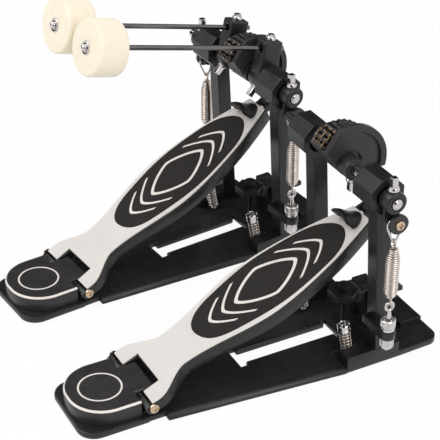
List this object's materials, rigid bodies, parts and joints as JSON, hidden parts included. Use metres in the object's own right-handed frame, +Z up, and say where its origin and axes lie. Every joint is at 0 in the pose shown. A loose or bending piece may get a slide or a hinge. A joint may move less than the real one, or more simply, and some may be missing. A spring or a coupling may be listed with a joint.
{
  "type": "double bass drum pedal",
  "caption": "Double bass drum pedal: a main pedal with felt beaters on a chain-driven axle and a second pedal beside it, with treadles, return springs and hoop clamps.",
  "frame": {"origin": "on the floor under the middle of the main pedal's axle", "axes": "+X to the player's right along the main axle, +Y from heel to drum, +Z up"},
  "size_m": [0.403, 0.3991, 0.2983],
  "materials": {
    "black_casting": "black powder coat on die-cast alloy",
    "black_plate": "satin black coated alloy plate",
    "silver_plate": "brushed, pale silver",
    "grip_black": "matte black with pale trim",
    "stop_black": "matte black",
    "cam_black": "satin black",
    "chain_steel": "oiled roller chain",
    "chrome": "polished",
    "spring_steel": "bright wire",
    "roller_black": "moulded",
    "pivot_brass": "dull brass",
    "bearing_steel": "ground",
    "felt_cream": "pressed cream felt"
  },
  "bodies": {
    "stand": {"main_base_plate": "black_plate", "slave_base_plate": "black_plate", "main_frame": "black_casting", "slave_frame": "black_casting", "main_heel_block": "black_casting", "slave_heel_block": "black_casting", "heel_pivot_screws": "pivot_brass", "axle_bearings": "bearing_steel", "spur_bolts": "chrome", "spur_springs": "spring_steel", "tension_rods": "chrome"},
    "main_treadle": {"main_footboard": "black_casting", "main_footboard_plate": "silver_plate", "main_grip_pad": "grip_black", "main_toe_stop": "stop_black"},
    "main_axle_unit": {"main_axle": "chrome", "main_cam": "cam_black", "main_chain_wrap": "chain_steel", "main_rocker": "black_casting", "main_roller": "roller_black", "main_axle_screws": "chrome", "near_beater_holder": "black_casting"},
    "main_chain_upper": {"main_chain_upper": "chain_steel"},
    "main_chain_lower": {"main_chain_lower": "chain_steel"},
    "main_chain_run": {"main_chain_run": "chain_steel"},
    "main_spring_low": {"main_spring": "spring_steel"},
    "main_spring_top": {"main_spring_stirrup": "chrome"},
    "main_jaw": {"main_hoop_jaw": "black_casting"},
    "main_jaw_turn": {"main_jaw_screw": "chrome"},
    "slave_treadle": {"slave_footboard": "black_casting", "slave_footboard_plate": "silver_plate", "slave_grip_pad": "grip_black", "slave_toe_stop": "stop_black"},
    "slave_axle_unit": {"slave_axle": "chrome", "slave_cam": "cam_black", "slave_chain_wrap": "chain_steel", "slave_rocker": "black_casting", "slave_roller": "roller_black", "slave_axle_screws": "chrome"},
    "slave_chain_upper": {"slave_chain_upper": "chain_steel"},
    "slave_chain_lower": {"slave_chain_lower": "chain_steel"},
    "slave_chain_run": {"slave_chain_run": "chain_steel"},
    "slave_spring_low": {"slave_spring": "spring_steel"},
    "slave_spring_top": {"slave_spring_stirrup": "chrome"},
    "slave_jaw": {"slave_hoop_jaw": "black_casting"},
    "slave_jaw_turn": {"slave_jaw_screw": "chrome"},
    "second_axle_unit": {"second_axle": "chrome", "second_rocker": "black_casting", "second_roller": "roller_black", "second_axle_screws": "chrome", "far_beater_holder": "black_casting"},
    "second_spring_low": {"second_spring": "spring_steel"},
    "second_spring_top": {"second_spring_stirrup": "chrome"},
    "near_beater": {"near_beater_rod": "chrome", "near_beater_felt": "felt_cream"},
    "far_beater": {"far_beater_rod": "chrome", "far_beater_felt": "felt_cream"},
    "main_nut": {"main_tension_nut": "chrome"},
    "second_nut": {"second_tension_nut": "chrome"},
    "slave_nut": {"slave_tension_nut": "chrome"}
  },
  "joints": [
    {"name": "main_pedal_press", "type": "hinge", "parent": "stand", "child": "main_treadle", "pos_m": [0, -0.215, 0.0165], "axis": [1, 0, 0], "range_deg": [-8, 0], "stiffness_Nm_per_rad": 4, "springref_deg": 20.05},
    {"name": "main_axle_turn", "type": "hinge", "parent": "stand", "child": "main_axle_unit", "pos_m": [0, 0, 0.19], "axis": [1, 0, 0], "range_deg": [-69.17, 0]},
    {"name": "main_chain_upper_bend", "type": "hinge", "parent": "main_axle_unit", "child": "main_chain_upper", "pos_m": [0, 0.00896, 0.2202], "axis": [1, 0, 0], "range_deg": [0, 26.03]},
    {"name": "main_chain_lower_bend", "type": "hinge", "parent": "main_chain_upper", "child": "main_chain_lower", "pos_m": [0, 0.02387, 0.21055], "axis": [1, 0, 0], "range_deg": [0, 26.03]},
    {"name": "main_chain_run_bend", "type": "hinge", "parent": "main_chain_lower", "child": "main_chain_run", "pos_m": [0, 0.03119, 0.19438], "axis": [1, 0, 0], "range_deg": [0, 26.03]},
    {"name": "main_spring_lean", "type": "hinge", "parent": "stand", "child": "main_spring_low", "pos_m": [0.0795, 0.005, 0.077], "axis": [1, 0, 0], "range_deg": [0, 13.91]},
    {"name": "main_spring_stretch", "type": "slide", "parent": "main_spring_low", "child": "main_spring_top", "axis": [0, 0, 1], "range_m": [0, 0.01324], "deforming": ["main_spring"]},
    {"name": "main_jaw_tilt", "type": "hinge", "parent": "stand", "child": "main_jaw", "pos_m": [0, 0.035, 0.037], "axis": [1, 0, 0], "range_deg": [-8, 0]},
    {"name": "main_jaw_screw_turn", "type": "hinge", "parent": "main_jaw", "child": "main_jaw_turn", "pos_m": [0, 0.008, 0.04], "axis": [0, 0, 1], "range_deg": [0, 1120]},
    {"name": "slave_pedal_press", "type": "hinge", "parent": "stand", "child": "slave_treadle", "pos_m": [0.18927, -0.2499, 0.0165], "axis": [0.9949, -0.1011, 0], "range_deg": [-8, 0], "stiffness_Nm_per_rad": 4, "springref_deg": 20.05},
    {"name": "slave_axle_turn", "type": "hinge", "parent": "stand", "child": "slave_axle_unit", "pos_m": [0.211, -0.036, 0.19], "axis": [0.9949, -0.1011, 0], "range_deg": [-70.82, 0]},
    {"name": "slave_chain_upper_bend", "type": "hinge", "parent": "slave_axle_unit", "child": "slave_chain_upper", "pos_m": [0.20365, -0.02916, 0.22091], "axis": [0.9949, -0.1011, 0], "range_deg": [0, 24.82]},
    {"name": "slave_chain_lower_bend", "type": "hinge", "parent": "slave_chain_upper", "child": "slave_chain_lower", "pos_m": [0.20525, -0.01348, 0.21272], "axis": [0.9949, -0.1011, 0], "range_deg": [0, 24.82]},
    {"name": "slave_chain_run_bend", "type": "hinge", "parent": "slave_chain_lower", "child": "slave_chain_run", "pos_m": [0.20614, -0.00471, 0.19731], "axis": [0.9949, -0.1011, 0], "range_deg": [0, 24.82]},
    {"name": "slave_spring_lean", "type": "hinge", "parent": "stand", "child": "slave_spring_low", "pos_m": [0.2906, -0.03906, 0.077], "axis": [0.9949, -0.1011, 0], "range_deg": [0, 14.03]},
    {"name": "slave_spring_stretch", "type": "slide", "parent": "slave_spring_low", "child": "slave_spring_top", "axis": [0, 0, 1], "range_m": [0, 0.01388], "deforming": ["slave_spring"]},
    {"name": "slave_jaw_tilt", "type": "hinge", "parent": "stand", "child": "slave_jaw", "pos_m": [0.21454, -0.00118, 0.037], "axis": [0.9949, -0.1011, 0], "range_deg": [-8, 0]},
    {"name": "slave_jaw_screw_turn", "type": "hinge", "parent": "slave_jaw", "child": "slave_jaw_turn", "pos_m": [0.21181, -0.02804, 0.04], "axis": [0, 0, 1], "range_deg": [0, 1120]},
    {"name": "second_axle_turn", "type": "hinge", "parent": "stand", "child": "second_axle_unit", "pos_m": [0, 0, 0.19], "axis": [1, 0, 0], "range_deg": [-70, 0], "stiffness_Nm_per_rad": 0.1, "springref_deg": 45.84},
    {"name": "second_spring_lean", "type": "hinge", "parent": "stand", "child": "second_spring_low", "pos_m": [-0.0795, 0.005, 0.077], "axis": [1, 0, 0], "range_deg": [0, 13.98]},
    {"name": "second_spring_stretch", "type": "slide", "parent": "second_spring_low", "child": "second_spring_top", "axis": [0, 0, 1], "range_m": [0, 0.01358], "deforming": ["second_spring"]},
    {"name": "near_beater_reach", "type": "slide", "parent": "main_axle_unit", "child": "near_beater", "axis": [0, -0.9681, 0.2504], "range_m": [-0.02, 0.006]},
    {"name": "far_beater_reach", "type": "slide", "parent": "second_axle_unit", "child": "far_beater", "axis": [0, -0.9681, 0.2504], "range_m": [-0.02, 0.006]},
    {"name": "main_tension_nut_turn", "type": "hinge", "parent": "stand", "child": "main_nut", "pos_m": [0.0795, 0.005, 0.057], "axis": [0, 0, 1], "continuous": true},
    {"name": "second_tension_nut_turn", "type": "hinge", "parent": "stand", "child": "second_nut", "pos_m": [-0.0795, 0.005, 0.057], "axis": [0, 0, 1], "continuous": true},
    {"name": "slave_tension_nut_turn", "type": "hinge", "parent": "stand", "child": "slave_nut", "pos_m": [0.2906, -0.03906, 0.057], "axis": [0, 0, 1], "continuous": true}
  ],
  "couplings": [
    {"joint": "main_axle_turn", "follows": "main_pedal_press", "ratio": 8.6405},
    {"joint": "main_chain_upper_bend", "follows": "main_pedal_press", "ratio": -3.2472},
    {"joint": "main_chain_lower_bend", "follows": "main_pedal_press", "ratio": -3.2472},
    {"joint": "main_chain_run_bend", "follows": "main_pedal_press", "ratio": -3.2472},
    {"joint": "main_spring_lean", "follows": "main_pedal_press", "ratio": -1.7327},
    {"joint": "main_spring_stretch", "follows": "main_pedal_press", "m_per_rad": -0.094078},
    {"joint": "main_jaw_tilt", "follows": "main_jaw_screw_turn", "ratio": -0.007143},
    {"joint": "slave_axle_turn", "follows": "slave_pedal_press", "ratio": 8.8461},
    {"joint": "slave_chain_upper_bend", "follows": "slave_pedal_press", "ratio": -3.0967},
    {"joint": "slave_chain_lower_bend", "follows": "slave_pedal_press", "ratio": -3.0967},
    {"joint": "slave_chain_run_bend", "follows": "slave_pedal_press", "ratio": -3.0967},
    {"joint": "slave_spring_lean", "follows": "slave_pedal_press", "ratio": -1.7474},
    {"joint": "slave_spring_stretch", "follows": "slave_pedal_press", "m_per_rad": -0.098669},
    {"joint": "slave_jaw_tilt", "follows": "slave_jaw_screw_turn", "ratio": -0.007143},
    {"joint": "second_spring_lean", "follows": "second_axle_turn", "ratio": -0.19894},
    {"joint": "second_spring_stretch", "follows": "second_axle_turn", "m_per_rad": -0.011031}
  ]
}
